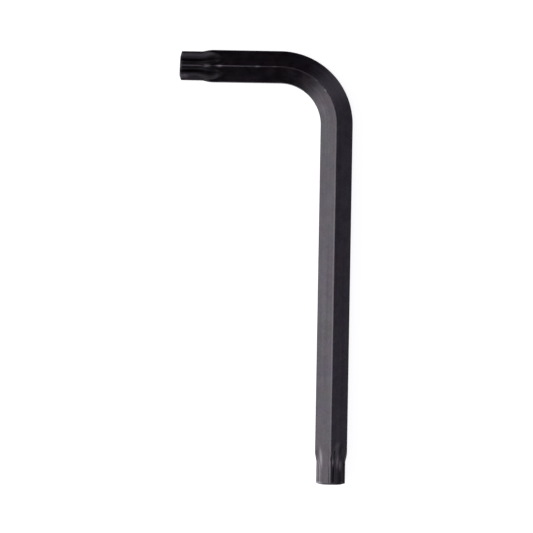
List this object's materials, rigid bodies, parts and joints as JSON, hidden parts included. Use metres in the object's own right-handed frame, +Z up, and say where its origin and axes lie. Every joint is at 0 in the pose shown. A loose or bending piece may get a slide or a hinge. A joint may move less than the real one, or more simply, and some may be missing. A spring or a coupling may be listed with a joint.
{
  "type": "star-drive key",
  "caption": "L-shaped key bent from hexagonal steel bar, with a star-shaped drive tip on each end for turning star-recess screws.",
  "frame": {"origin": "middle of the underside of the key's box, with the key lying flat on two corners of its hexagon", "axes": "+Y along the long arm, from its star towards the bend; +X from the short arm's star towards the bend; +Z up, at right angles to the plane of the bend"},
  "size_m": [0.03, 0.0746, 0.0063],
  "materials": {
    "star_key": "black oxide, satin"
  },
  "bodies": {
    "root": {"star_key": "star_key"}
  },
  "joints": []
}
